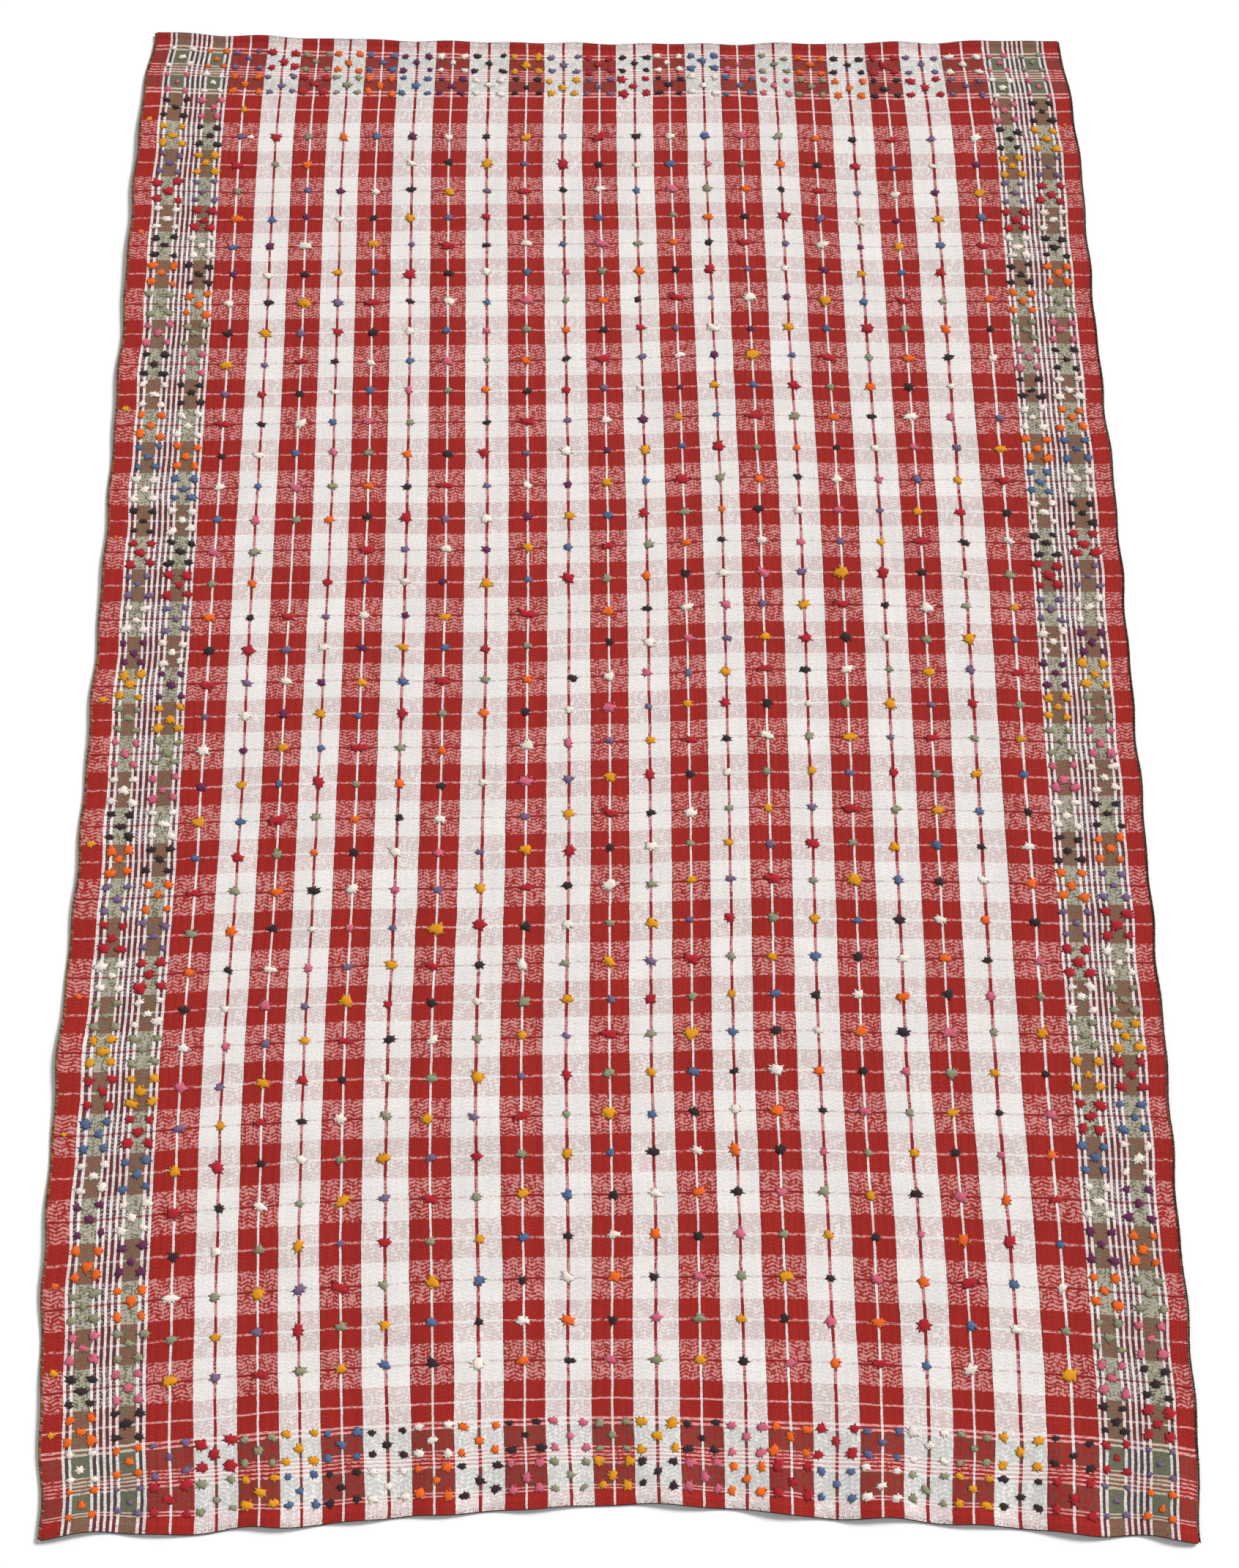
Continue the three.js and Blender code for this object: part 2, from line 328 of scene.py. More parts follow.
def calc(tree, operation, *values, clamped=False):
    made = addNode(tree, "ShaderNodeMath", operation=operation, use_clamp=clamped)
    for socket, value in zip(made.inputs, values):
        feed(tree, socket, value)
    return made.outputs[0]


def centred(tree, value):
    return calc(tree, "SUBTRACT", value, 0.5)


def addNoise(tree, at, values):
    return addNode(tree, "ShaderNodeTexNoise", {"Vector": at, **values}).outputs


def splitColor(tree, color, mode="RGB"):
    return addNode(tree, "ShaderNodeSeparateColor", {0: color}, mode=mode).outputs


def mixColors(tree, share, first, second, blend="MIX"):
    made = addNode(tree, "ShaderNodeMix", data_type="RGBA", blend_type=blend)
    feed(tree, made.inputs[0], share)
    feed(tree, made.inputs[6], first)
    feed(tree, made.inputs[7], second)
    return made.outputs[2]


def newGroup(name, inputs, outputs):
    tree = bpy.data.node_groups.new(name, "ShaderNodeTree")
    for socket, kind in inputs:
        tree.interface.new_socket(socket, in_out="INPUT", socket_type="NodeSocket" + kind)
    for socket, kind in outputs:
        tree.interface.new_socket(socket, in_out="OUTPUT", socket_type="NodeSocket" + kind)
    return tree, tree.nodes.new("NodeGroupInput").outputs, tree.nodes.new("NodeGroupOutput").inputs


def placeGroup(tree, group, inputs):
    return addNode(tree, "ShaderNodeGroup", inputs, node_tree=group).outputs


yarns = {
    "red": (0.330, 0.022, 0.017),
    "white": (0.815, 0.780, 0.757),
    "greyGreen": (0.158, 0.143, 0.093),
    "green": (0.091, 0.141, 0.110),
    "dark": (0.090, 0.040, 0.042),
    "darkRed": (0.255, 0.022, 0.027),
    # maroon is painted shade, used only at the edges of the field's columns and beside their white lines
    "maroon": (0.130, 0.016, 0.018),
}

# Stripes: where each begins, its yarn, and how openly the weft shows there.
mostOpen = 3.0
sideStripeDepth = 148   # the warp stripes of a side border, outwards from the field, in millimetres
sideStripes = ([(0, "white", 1.6), (4.2, "dark", 1), (9.2, "white", 1.6), (13.4, "greyGreen", 1.6)]
               + [(38.7 + 9.3 * k, "white", 1.6) for k in range(5)]
               + [(42.9 + 9.3 * k, "dark", 1) for k in range(4)]
               + [(80.1, "greyGreen", 1.6), (106.5, "white", 1.6), (110.7, "dark", 1),
                  (115.7, "white", 1.6), (119.9, "red", 0.92)])
# The weft stripes of an end band, outwards from the field, in rows.
endStripes = ([(0, "red", 1), (0.425, "white", 1.95), (0.48, "red", 1), (0.905, "white", 1.95),
               (0.963, "red", 1.3), (1.03, "white", 1.95), (1.088, "red", 1), (1.1, "green", 1)]
              + [(1.55 + 0.085 * k, "white", 1.75) for k in range(5)]
              + [(1.592 + 0.085 * k, "red", 1.6) for k in range(4)]
              + [(1.935, "green", 1), (2.4, "white", 1.95), (2.46, "red", 1.5), (2.52, "white", 1.95),
                 (2.58, "red", 1)])
# The maroon stripes at each column's edges and beside the white line are painted shade between the yarns.
fieldColumns = [(0, "maroon", 0.8), (0.006, "red", 1.0), (0.231, "maroon", 0.8), (0.236, "white", 1.8),
                (0.264, "maroon", 0.8), (0.269, "red", 1.0), (0.494, "maroon", 0.8), (0.5, "white", 2.0),
                (0.7325, "darkRed", 2.1), (0.7675, "white", 2.0)]
fieldRows = [(0, "white", 1), (0.235, "darkRed", 1), (0.265, "white", 1), (0.5, "red", 1),
             (0.7372, "white", 1.45), (0.7628, "red", 1)]
threadDrift = {
    "slow": {"Scale": 13.0, "Detail": 1.5, "Roughness": 0.5},
    "quick": {"Scale": 110.0, "Detail": 1.0},
    "columns": (0.05, 0.022),   # how far a thread strays, slowly and quickly
    "rows": (0.09, 0.034),
}
twill = {
    "endsPerColumn": 20,
    "endsPerTurn": 3,
    "picksPerRow": 43,
    "repeat": 4.0,
    "openness": 0.24,
    "slubNoise": {"Scale": 130.0, "Detail": 1.5},
    "slub": 0.8,
    "slubLeast": 0.3,
    "dashEnds": 0.75,   # a stroke of weft keeps one strength for so many ends
    "dashSpread": 2.0,
    "bead": (0.7, 0.65),   # how a pick narrows towards its edges
    "edge": 24.0,
    "warpRelief": 0.4,
    "endRelief": 0.4,
    "weftRelief": 0.35,
    # where the painted shade between the yarns lies beside a weft stroke, and how sharply it ends
    "paintedShadeAt": 0.17,
    "paintedShadeEdge": 12.0,
}
dye = {
    "patches": {"Scale": 13.0, "Detail": 3.0},
    "specks": {"Scale": 270.0, "Detail": 1.5},
    "speckDepth": 0.44,
}


def stripeRamp(tree, place, stripes, depth):
    made = addNode(tree, "ShaderNodeValToRGB", {"Fac": place})
    ramp = made.color_ramp
    ramp.interpolation = "CONSTANT"
    ramp.elements.remove(ramp.elements[1])
    for number, (start, yarn, openly) in enumerate(sorted(stripes)):
        stop = ramp.elements.new(start / depth) if number else ramp.elements[0]
        stop.position = start / depth
        stop.color = (*yarns[yarn], openly / mostOpen)
    return made.outputs["Color"], calc(tree, "MULTIPLY", made.outputs["Alpha"], mostOpen)


def buildLoomPlace():
    tree, given, put = newGroup("loomPlace", [("Loom", "Vector")],
                                [("Column", "Float"), ("Row", "Float"), ("Side", "Float"),
                                 ("End", "Float"), ("Metres", "Vector")])
    metres = addNode(tree, "ShaderNodeVectorMath",
                     {0: given["Loom"], 1: (*loom["flatSize"], 1)}, operation="MULTIPLY").outputs[0]
    slow = splitColor(tree, addNoise(tree, metres, threadDrift["slow"])["Color"])
    quick = splitColor(tree, addNoise(tree, metres, threadDrift["quick"])["Color"])
    loomParts = addNode(tree, "ShaderNodeSeparateXYZ", {0: given["Loom"]}).outputs

    def strayed(plain, part, slowReach, quickReach):
        slowly = calc(tree, "MULTIPLY", centred(tree, slow[part]), slowReach)
        quickly = calc(tree, "MULTIPLY", centred(tree, quick[part]), quickReach)
        return calc(tree, "ADD", plain, calc(tree, "ADD", slowly, quickly))

    def pastField(place, middle):
        return calc(tree, "SUBTRACT", calc(tree, "ABSOLUTE", calc(tree, "SUBTRACT", place, middle)), middle)

    column = calc(tree, "MULTIPLY_ADD", loomParts["X"], allColumns, -loom["sideColumns"])
    column = strayed(column, 0, *threadDrift["columns"])
    row = calc(tree, "MULTIPLY_ADD", loomParts["Y"], -allRows, loom["rows"] + loom["endRows"])
    row = strayed(row, 1, *threadDrift["rows"])
    side, end = pastField(column, middleColumn), pastField(row, middleRow)
    for name, value in (("Column", column), ("Row", row), ("Side", side), ("End", end), ("Metres", metres)):
        tree.links.new(value, put[name])
    return tree


def buildHerringbone():
    tree, given, put = newGroup("herringboneTwill",
                                [("Column", "Float"), ("Row", "Float"), ("Metres", "Vector"),
                                 ("Openly", "Float"), ("Steady", "Float")],
                                [("Weft", "Float"), ("Relief", "Float"), ("PaintedGapShade", "Float")])
    ends = calc(tree, "MULTIPLY", given["Column"], twill["endsPerColumn"])
    picks = calc(tree, "MULTIPLY", given["Row"], twill["picksPerRow"])
    zigzag = calc(tree, "PINGPONG", ends, twill["endsPerTurn"])
    wale = calc(tree, "DIVIDE", calc(tree, "ADD", zigzag, picks), twill["repeat"])
    phase = calc(tree, "FRACT", wale)
    slub = addNoise(tree, given["Metres"], twill["slubNoise"])["Fac"]
    slub = calc(tree, "MULTIPLY_ADD", centred(tree, slub), twill["slub"], 1.0)
    slub = calc(tree, "MAXIMUM", slub, twill["slubLeast"])
    dash = calc(tree, "FLOOR", calc(tree, "DIVIDE", ends, twill["dashEnds"]))
    dash = addNode(tree, "ShaderNodeCombineXYZ", {"X": calc(tree, "FLOOR", wale), "Y": dash})
    dash = addNode(tree, "ShaderNodeTexWhiteNoise", {"Vector": dash.outputs[0]}, noise_dimensions="2D")
    dash = calc(tree, "MULTIPLY_ADD", centred(tree, dash.outputs["Value"]), twill["dashSpread"], 1.0)
    slub = calc(tree, "MULTIPLY", slub, dash)
    slub = calc(tree, "MULTIPLY_ADD", calc(tree, "SUBTRACT", 1.0, slub), given["Steady"], slub)
    bead = calc(tree, "SINE", calc(tree, "MULTIPLY", picks, math.pi))
    bead = calc(tree, "MULTIPLY_ADD", calc(tree, "MULTIPLY", bead, bead), *twill["bead"])
    openly = calc(tree, "MULTIPLY", given["Openly"], twill["openness"])
    width = calc(tree, "MULTIPLY", openly, calc(tree, "MULTIPLY", slub, bead))
    aside = calc(tree, "ABSOLUTE", centred(tree, phase))
    weft = calc(tree, "SUBTRACT", width, aside)
    weft = calc(tree, "MULTIPLY_ADD", weft, twill["edge"], 0.5, clamped=True)
    endRound = calc(tree, "SINE", calc(tree, "MULTIPLY", calc(tree, "FRACT", ends), math.pi))
    warpFloat = calc(tree, "COSINE", calc(tree, "MULTIPLY", phase, math.pi * 2))
    relief = calc(tree, "MULTIPLY", endRound, twill["endRelief"])
    relief = calc(tree, "MULTIPLY_ADD", warpFloat, twill["warpRelief"], relief)
    relief = calc(tree, "MULTIPLY_ADD", weft, twill["weftRelief"], relief)
    # Painted shade between the yarns: a dark band along the edge of each float.
    paintedGapShade = calc(tree, "ABSOLUTE", calc(tree, "SUBTRACT", aside, twill["paintedShadeAt"]))
    paintedGapShade = calc(tree, "SUBTRACT", 1.0, calc(tree, "MULTIPLY", paintedGapShade, twill["paintedShadeEdge"]), clamped=True)
    for name, value in (("Weft", weft), ("Relief", relief), ("PaintedGapShade", paintedGapShade)):
        tree.links.new(value, put[name])
    return tree


def buildDyeShade():
    tree, given, put = newGroup("dyeShade", [("Metres", "Vector"), ("Thread", "Float"), ("Color", "Color"),
                                             ("Patchy", "Float"), ("Threads", "Float")], [("Color", "Color")])
    patch = addNoise(tree, given["Metres"], dye["patches"])["Fac"]
    patch = calc(tree, "MULTIPLY", centred(tree, patch), given["Patchy"])
    speck = addNoise(tree, given["Metres"], dye["specks"])["Fac"]
    speck = calc(tree, "MULTIPLY", centred(tree, speck), dye["speckDepth"])
    thread = calc(tree, "FLOOR", given["Thread"])
    thread = addNode(tree, "ShaderNodeTexWhiteNoise", {"W": thread}, noise_dimensions="1D")
    stripe = calc(tree, "MULTIPLY", centred(tree, thread.outputs["Value"]), given["Threads"])
    level = calc(tree, "ADD", 1.0, calc(tree, "ADD", patch, calc(tree, "ADD", speck, stripe)))
    scaled = addNode(tree, "ShaderNodeVectorMath", {0: given["Color"]}, operation="SCALE")
    feed(tree, scaled.inputs["Scale"], level)
    tree.links.new(scaled.outputs[0], put["Color"])
    return tree


groups = {"place": buildLoomPlace(), "twill": buildHerringbone(), "dye": buildDyeShade()}
weave = {
    "finish": {"Roughness": 0.9, "Specular IOR Level": 0.12, "Sheen Weight": 0.03, "Sheen Roughness": 0.6},
    "darkLineAt": 0.25,   # in pairs of rows
    "darkLineReach": 0.0135,
    "darkLineOpens": (3.1, -0.3),   # how much more weft shows on red than on white, and on white
    "steadyFrom": 1.3,
    "warpPatchy": 0.3,
    "warpThreads": (0.2, 0.04),   # how unlike each other deeply dyed threads are, and pale ones
    "weftPatchy": 0.2,
    "weftThreads": 0.2,
    "onRed": 0.61,     # how much of the warp a stroke of weft hides
    "onWhite": 0.275,
    "lineAdds": 0.3,
    "tint": 0.48,
    # painted shade between the yarns: how deep it is, and its colour
    "paintedShadeDepth": 0.22,
    "paintedShadeColor": (0.30, 0.17, 0.16, 1),
    "bump": {"Strength": 0.4, "Distance": 0.0003},
}


def buildWeave():
    paint, tree, shader = newMaterial("checkedTwill", weave["finish"])
    loomMap = addNode(tree, "ShaderNodeUVMap", uv_map="loom")
    place = placeGroup(tree, groups["place"], {"Loom": loomMap.outputs["UV"]})
    column, row, side, end, metres = (place[n] for n in ("Column", "Row", "Side", "End", "Metres"))
    inSide = calc(tree, "GREATER_THAN", side, 0.0)
    inEnd = calc(tree, "GREATER_THAN", end, 0.0)
    columnPair = calc(tree, "FRACT", calc(tree, "MULTIPLY", column, 0.5))
    rowPair = calc(tree, "FRACT", calc(tree, "MULTIPLY", row, 0.5))
    sideShare = calc(tree, "DIVIDE", side, loom["sideColumns"])
    endShare = calc(tree, "DIVIDE", end, loom["endRows"])
    fieldWarp, fieldWarpOpen = stripeRamp(tree, columnPair, fieldColumns, 1)
    sideWarp, sideWarpOpen = stripeRamp(tree, sideShare, sideStripes, sideStripeDepth)
    fieldWeft, fieldWeftOpen = stripeRamp(tree, rowPair, fieldRows, 1)
    endWeft, endWeftOpen = stripeRamp(tree, endShare, endStripes, loom["endRows"])

    def either(share, first, second):
        return calc(tree, "MULTIPLY_ADD", calc(tree, "SUBTRACT", second, first), share, first)

    warp = mixColors(tree, inSide, fieldWarp, sideWarp)
    weft = mixColors(tree, inEnd, fieldWeft, endWeft)
    weftOpen = either(inEnd, fieldWeftOpen, endWeftOpen)
    openly = calc(tree, "MULTIPLY", either(inSide, fieldWarpOpen, sideWarpOpen), weftOpen)
    # The dark line along the middle of a white row covers the red warp and all but hides on the white.
    darkLine = calc(tree, "ABSOLUTE", calc(tree, "SUBTRACT", rowPair, weave["darkLineAt"]))
    darkLine = calc(tree, "LESS_THAN", darkLine, weave["darkLineReach"])
    darkLine = calc(tree, "MULTIPLY", darkLine, calc(tree, "SUBTRACT", 1.0, inEnd))
    onRed = calc(tree, "MAXIMUM", calc(tree, "LESS_THAN", columnPair, 0.5), inSide)
    lineOpens = calc(tree, "MULTIPLY_ADD", onRed, *weave["darkLineOpens"])
    openly = calc(tree, "MULTIPLY", openly, calc(tree, "MULTIPLY_ADD", lineOpens, darkLine, 1.0))
    # The fine lines of weft lie closer and steadier than the rest.
    steady = calc(tree, "SUBTRACT", weftOpen, weave["steadyFrom"])
    steady = calc(tree, "ADD", steady, calc(tree, "MULTIPLY", darkLine, onRed), clamped=True)
    woven = placeGroup(tree, groups["twill"], {"Column": column, "Row": row, "Metres": metres,
                                               "Openly": openly, "Steady": steady})
    depth = splitColor(tree, warp, "HSV")[1]
    warpThread = calc(tree, "MULTIPLY", column, twill["endsPerColumn"])
    weftThread = calc(tree, "MULTIPLY", row, twill["picksPerRow"])
    warpThreads = calc(tree, "MULTIPLY_ADD", depth, *weave["warpThreads"])
    warp = placeGroup(tree, groups["dye"], {"Metres": metres, "Color": warp, "Thread": warpThread,
                                            "Patchy": weave["warpPatchy"], "Threads": warpThreads})
    weft = placeGroup(tree, groups["dye"], {"Metres": metres, "Color": weft, "Thread": weftThread,
                                            "Patchy": weave["weftPatchy"], "Threads": weave["weftThreads"]})
    warp, weft = warp["Color"], weft["Color"]
    # The wool of the warp tints the light that reaches the weft between its threads.
    hue, strength, _ = splitColor(tree, warp, "HSV")
    pure = addNode(tree, "ShaderNodeCombineColor", {0: hue, 1: strength, 2: 1.0}, mode="HSV")
    weft = mixColors(tree, weave["tint"], weft, pure.outputs[0], "MULTIPLY")
    hides = calc(tree, "MULTIPLY_ADD", strength, weave["onRed"] - weave["onWhite"], weave["onWhite"])
    hides = calc(tree, "MULTIPLY_ADD", steady, weave["lineAdds"], hides)
    color = mixColors(tree, calc(tree, "MULTIPLY", woven["Weft"], hides), warp, weft)
    # Painted shade between the yarns is multiplied into the woven colour.
    shade = calc(tree, "MULTIPLY", woven["PaintedGapShade"], weave["paintedShadeDepth"])
    color = mixColors(tree, shade, color, weave["paintedShadeColor"], "MULTIPLY")
    tree.links.new(color, shader.inputs["Base Color"])
    bump = addNode(tree, "ShaderNodeBump", {"Height": woven["Relief"], **weave["bump"]})
    tree.links.new(bump.outputs["Normal"], shader.inputs["Normal"])
    return paint


yarnSurface = {
    "finish": {"Roughness": 0.94, "Specular IOR Level": 0.12, "Sheen Weight": 0.08, "Sheen Roughness": 0.6},
    "fibres": {"Scale": 800.0, "Detail": 3.0, "Roughness": 0.65},
    "lumps": {"Scale": 45.0, "Detail": 1.0},
    "fibreShade": (0.9, 0.55),   # how much the fibres shade the yarn, and its darkest
    "lumpShade": (0.5, 0.75),
    "bump": {"Strength": 0.6, "Distance": 0.0006},
}


def buildYarn(name, color):
    paint, tree, shader = newMaterial(name, yarnSurface["finish"])
    spot = addNode(tree, "ShaderNodeTexCoord").outputs["Object"]
    fibres = addNoise(tree, spot, yarnSurface["fibres"])["Fac"]
    lumps = addNoise(tree, spot, yarnSurface["lumps"])["Fac"]
    level = calc(tree, "MULTIPLY", calc(tree, "MULTIPLY_ADD", fibres, *yarnSurface["fibreShade"]),
                 calc(tree, "MULTIPLY_ADD", lumps, *yarnSurface["lumpShade"]))
    scaled = addNode(tree, "ShaderNodeVectorMath", {0: color, "Scale": level}, operation="SCALE")
    tree.links.new(scaled.outputs[0], shader.inputs["Base Color"])
    bump = addNode(tree, "ShaderNodeBump", {"Height": fibres, **yarnSurface["bump"]})
    tree.links.new(bump.outputs["Normal"], shader.inputs["Normal"])
    return paint


clothGrid = {
    "cellsPerColumn": 6,
    "cellsPerSide": 14,
    "cellsPerRow": 5,
    "cellsPerEnd": 15,
    "creaseAngle": 40,
}


def clothLines():
    grid = clothGrid
    inner = np.arange(loom["columns"] * grid["cellsPerColumn"] + 1) / grid["cellsPerColumn"]
    outer = np.linspace(0, loom["sideColumns"], grid["cellsPerSide"] + 1)[1:]
    columns = np.concatenate([-outer[::-1], inner, loom["columns"] + outer])
    inner = np.arange(loom["rows"] * grid["cellsPerRow"] + 1) / grid["cellsPerRow"]
    outer = np.linspace(0, loom["endRows"], grid["cellsPerEnd"] + 1)[1:-1]
    hemAt = clothShape["halfLength"] - clothShape["hemDepth"]
    hems = np.array([hemAt, hemAt - clothShape["hemStep"]])
    far = np.interp(hems, loomAlong[::-1], loomRows[::-1])
    near = np.interp(-hems, loomAlong[::-1], loomRows[::-1])
    ends = [-loom["endRows"], loom["rows"] + loom["endRows"]]
    rows = np.concatenate([-outer, inner, loom["rows"] + outer, far, near, ends])
    return columns, np.sort(rows)[::-1]


def buildCloth():
    columns, rows = clothLines()
    across, down = len(columns) - 1, len(rows) - 1
    bpy.ops.mesh.primitive_grid_add(x_subdivisions=across, y_subdivisions=down, size=1)
    cloth = bpy.context.object
    cloth.name = "wovenCloth"
    mesh = cloth.data
    place = np.zeros(len(mesh.vertices) * 3)
    mesh.vertices.foreach_get("co", place)
    place = place.reshape(-1, 3)
    i = np.rint((place[:, 0] + 0.5) * across).astype(int)
    j = np.rint((place[:, 1] + 0.5) * down).astype(int)
    column, row = columns[i], rows[j]
    along = np.interp(row, loomRows, loomAlong)
    x, y, z = underside(np.interp(column, loomColumns, loomAcross), along)
    mesh.vertices.foreach_set("co", (np.stack([x, y, z], -1) * mm).ravel())
    corner = np.zeros(len(mesh.loops), int)
    mesh.loops.foreach_get("vertex_index", corner)
    mesh.uv_layers[0].name = "loom"
    u = (column + loom["sideColumns"]) / allColumns
    v = 1 - (row + loom["endRows"]) / allRows
    mesh.uv_layers[0].data.foreach_set("uv", np.stack([u, v], -1)[corner].ravel())
    hem = cloth.vertex_groups.new(name="hem")
    hem.add([int(n) for n in np.nonzero(hemShare(along) > 0.5)[0]], 1.0, "REPLACE")
    solid = cloth.modifiers.new("thickness", "SOLIDIFY")
    full = clothShape["thickness"] + clothShape["hemExtra"]
    solid.thickness = full * mm
    solid.offset = 1
    solid.vertex_group = "hem"
    solid.thickness_vertex_group = clothShape["thickness"] / full
    bpy.ops.object.modifier_apply(modifier="thickness")
    bpy.ops.object.shade_smooth_by_angle(angle=math.radians(clothGrid["creaseAngle"]))
    cloth.data.materials.clear()
    cloth.data.materials.append(buildWeave())
    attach(cloth, "root")
    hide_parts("cloth")
    print("cloth woven,", len(cloth.data.polygons), "faces")
    return cloth


def takeModel(piece):
    mesh = piece.data
    points = np.array([v.co[:] for v in mesh.vertices])
    faces = [list(p.vertices) for p in mesh.polygons]
    bpy.data.objects.remove(piece, do_unlink=True)
    return points, faces


def joinCopies(name, copies, material):
    points, faces, count = [], [], 0
    for placed, shape in copies:
        points.append(placed)
        faces.extend([[n + count for n in face] for face in shape])
        count += len(placed)
    mesh = bpy.data.meshes.new(name)
    mesh.from_pydata(np.concatenate(points).tolist(), [], faces)
    mesh.update()
    piece = bpy.data.objects.new(name, mesh)
    scene.collection.objects.link(piece)
    mesh.materials.append(material)
    mesh.shade_smooth()
    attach(piece, "root")
    return piece


def turnedBy(angle):
    cos, sin = math.cos(angle), math.sin(angle)
    return np.array([[cos, -sin, 0], [sin, cos, 0], [0, 0, 1]])


# One tuft, modelled 1 wide, 1 deep and 1 high: a lobed clump of cut wool with loose ends round it.
tuftShape = {
    "segments": 10,
    "rings": 4,
    "radius": 0.45,
    "lobes": (2, 5),
    "lobeDepth": 0.17,
    "spreads": (0.88, 1.12),
    "heights": (0.8, 1.15),
    "wisps": 7,
    "wispTurn": 0.4,
    "wispLength": 0.31,
    "wispLengths": (0.5, 1.5),
    "wispRise": (-0.1, 0.3),
    "wispRadius": 0.155,
    "wispWidths": (0.7, 1.3),
    "wispFrom": 0.38,
    "wispLift": 0.1,
    "wispOut": 0.35,
    "flatBelow": -0.2,
    "height": 3.2,
    "variants": 12,
}


def modelTuft(seed):
    chance = random.Random(seed)
    shape = tuftShape
    selectNone()
    bpy.ops.mesh.primitive_uv_sphere_add(segments=shape["segments"], ring_count=shape["rings"],
                                         radius=shape["radius"])
    core = bpy.context.object
    lobes = [(chance.randint(*shape["lobes"]), chance.uniform(0, 2 * math.pi)) for _ in range(2)]
    for vertex in core.data.vertices:
        turn = math.atan2(vertex.co.y, vertex.co.x)
        spread = 1 + sum(shape["lobeDepth"] * math.cos(count * turn + start) for count, start in lobes)
        spread *= chance.uniform(*shape["spreads"])
        height = chance.uniform(*shape["heights"])
        vertex.co = Vector((vertex.co.x * spread, vertex.co.y * spread, vertex.co.z * height))
    parts = [core]
    for k in range(shape["wisps"]):
        turn = 2 * math.pi * (k + chance.uniform(-shape["wispTurn"], shape["wispTurn"])) / shape["wisps"]
        length = shape["wispLength"] * chance.uniform(*shape["wispLengths"])
        rise = chance.uniform(*shape["wispRise"])
        outward = Vector((math.cos(turn), math.sin(turn), rise)).normalized()
        middle = Vector((math.cos(turn), math.sin(turn), shape["wispLift"])) * shape["wispFrom"]
        middle = middle + outward * length * shape["wispOut"]
        radius = shape["wispRadius"] * chance.uniform(*shape["wispWidths"])
        bpy.ops.mesh.primitive_cone_add(vertices=3, radius1=radius, radius2=0, depth=length, location=middle,
                                        rotation=outward.to_track_quat("Z", "Y").to_euler())
        parts.append(bpy.context.object)
    for part in parts:
        part.select_set(True)
    bpy.context.view_layer.objects.active = core
    bpy.ops.object.join()
    bpy.ops.object.transform_apply(location=True, rotation=True, scale=True)
    points, faces = takeModel(core)
    points[:, 2] = np.maximum(points[:, 2], shape["flatBelow"])
    return points, faces


# Wool of the tufts: colour, then how wide and how deep a tuft is on a red column and on a white one.
tuftWool = {
    "y": ("mustard", (0.680, 0.285, 0.010), (21.5, 16), (18, 15.5)),
    "o": ("orange", (0.760, 0.125, 0.012), (20, 14.5), (16.5, 15.5)),
    "r": ("crimson", (0.400, 0.015, 0.024), (28, 13), (19, 16.5)),
    "k": ("black", (0.034, 0.019, 0.022), (16.5, 13.5), (16.5, 11.5)),
    "c": ("cream", (0.820, 0.720, 0.640), (22, 14), (18, 13)),
    "s": ("sage", (0.265, 0.262, 0.160), (17, 13.5), (16.5, 12)),
    "b": ("blue", (0.085, 0.130, 0.250), (16, 12.5), (16, 13)),
    "p": ("violet", (0.175, 0.115, 0.215), (16, 12.5), (15, 11.5)),
    "d": ("plum", (0.130, 0.022, 0.080), (16, 13), (15, 13.5)),
    "n": ("pink", (0.570, 0.120, 0.185), (22, 14), (15.5, 14.5)),
}
# The order of the field's tufts down its diagonals, starting one before the far left crossing.
fieldOrder = "oprsobdckyprkcbnsokrpcdybrsokcnpyrkcsyprsybkcoknsyknorbcsykr"
# The order of the fives in the side borders, down the rug from the far end's red row.
sideOrder = "kyprckosnkcobckrpcdysnckoprcsyrbcdosnk"
lastOfSide = {-1: "o", 1: "r"}
# Fives where the borders cross: inner strip then outer strip, each nearest the field first.
cornerFives = {(-1, -1): ("co", "nc"), (1, -1): ("cn", "ns"), (-1, 1): ("op", "co"), (1, 1): ("rp", "po")}
# Crossings with no tuft, by column and row, and tufts off the crossings: wool, column, row, size.
bareCrossings = {(1, 2), (3, 1), (4, 1), (3, 4), (11, 3), (6, 10), (2, 14), (3, 14), (2, 15), (7, 16),
                 (9, 16), (9, 17), (7, 20), (7, 22), (20, 9), (19, 36)}
strayTufts = [("y", -2.04, 0.0, 0.8), ("o", -2.02, 4.0, 0.7), ("y", -2.06, 10.0, 0.8),
              ("o", -2.04, 14.0, 0.5), ("y", -2.02, 18.9, 0.7), ("y", -2.06, 23.0, 0.8),
              ("o", -2.03, 27.0, 0.7), ("y", -2.05, 30.5, 0.5), ("o", -2.04, 34.0, 0.7),
              ("y", -2.02, 36.0, 0.7),
              ("y", -2.05, 37.5, 0.7), ("o", 23.05, 0.0, 0.45), ("c", 0.8, 0.5, 0.7), ("y", 0.5, -0.45, 0.9)]
tuftSpread = {
    "seed": 17,
    "wander": 1.6,
    "turn": 13,
    "settled": 0.2,   # how high a tuft's middle lies, in its own heights
    "sizes": (0.84, 1.16),
    "widths": (0.85, 1.15),
    "heights": (0.85, 1.2),
    "fiveSize": (0.95, 0.88),   # in the sides, in the ends
    "cornerSize": 0.72,
    "fiveAcross": 0.33,
    "fiveDown": 0.3,
    "overStrip": 4,     # the side fives reach over the white lines by this, in millimetres
    "stripsAt": ((13.6, 38.6), (80.4, 106.4)),
    "outerRows": {-1: (-0.45, 0.27), 37: (37.45, 0.27)},   # where the sides' first and last fives lie
    "endGroups": ((1.32, 0.28), (2.2, 0.28)),
}


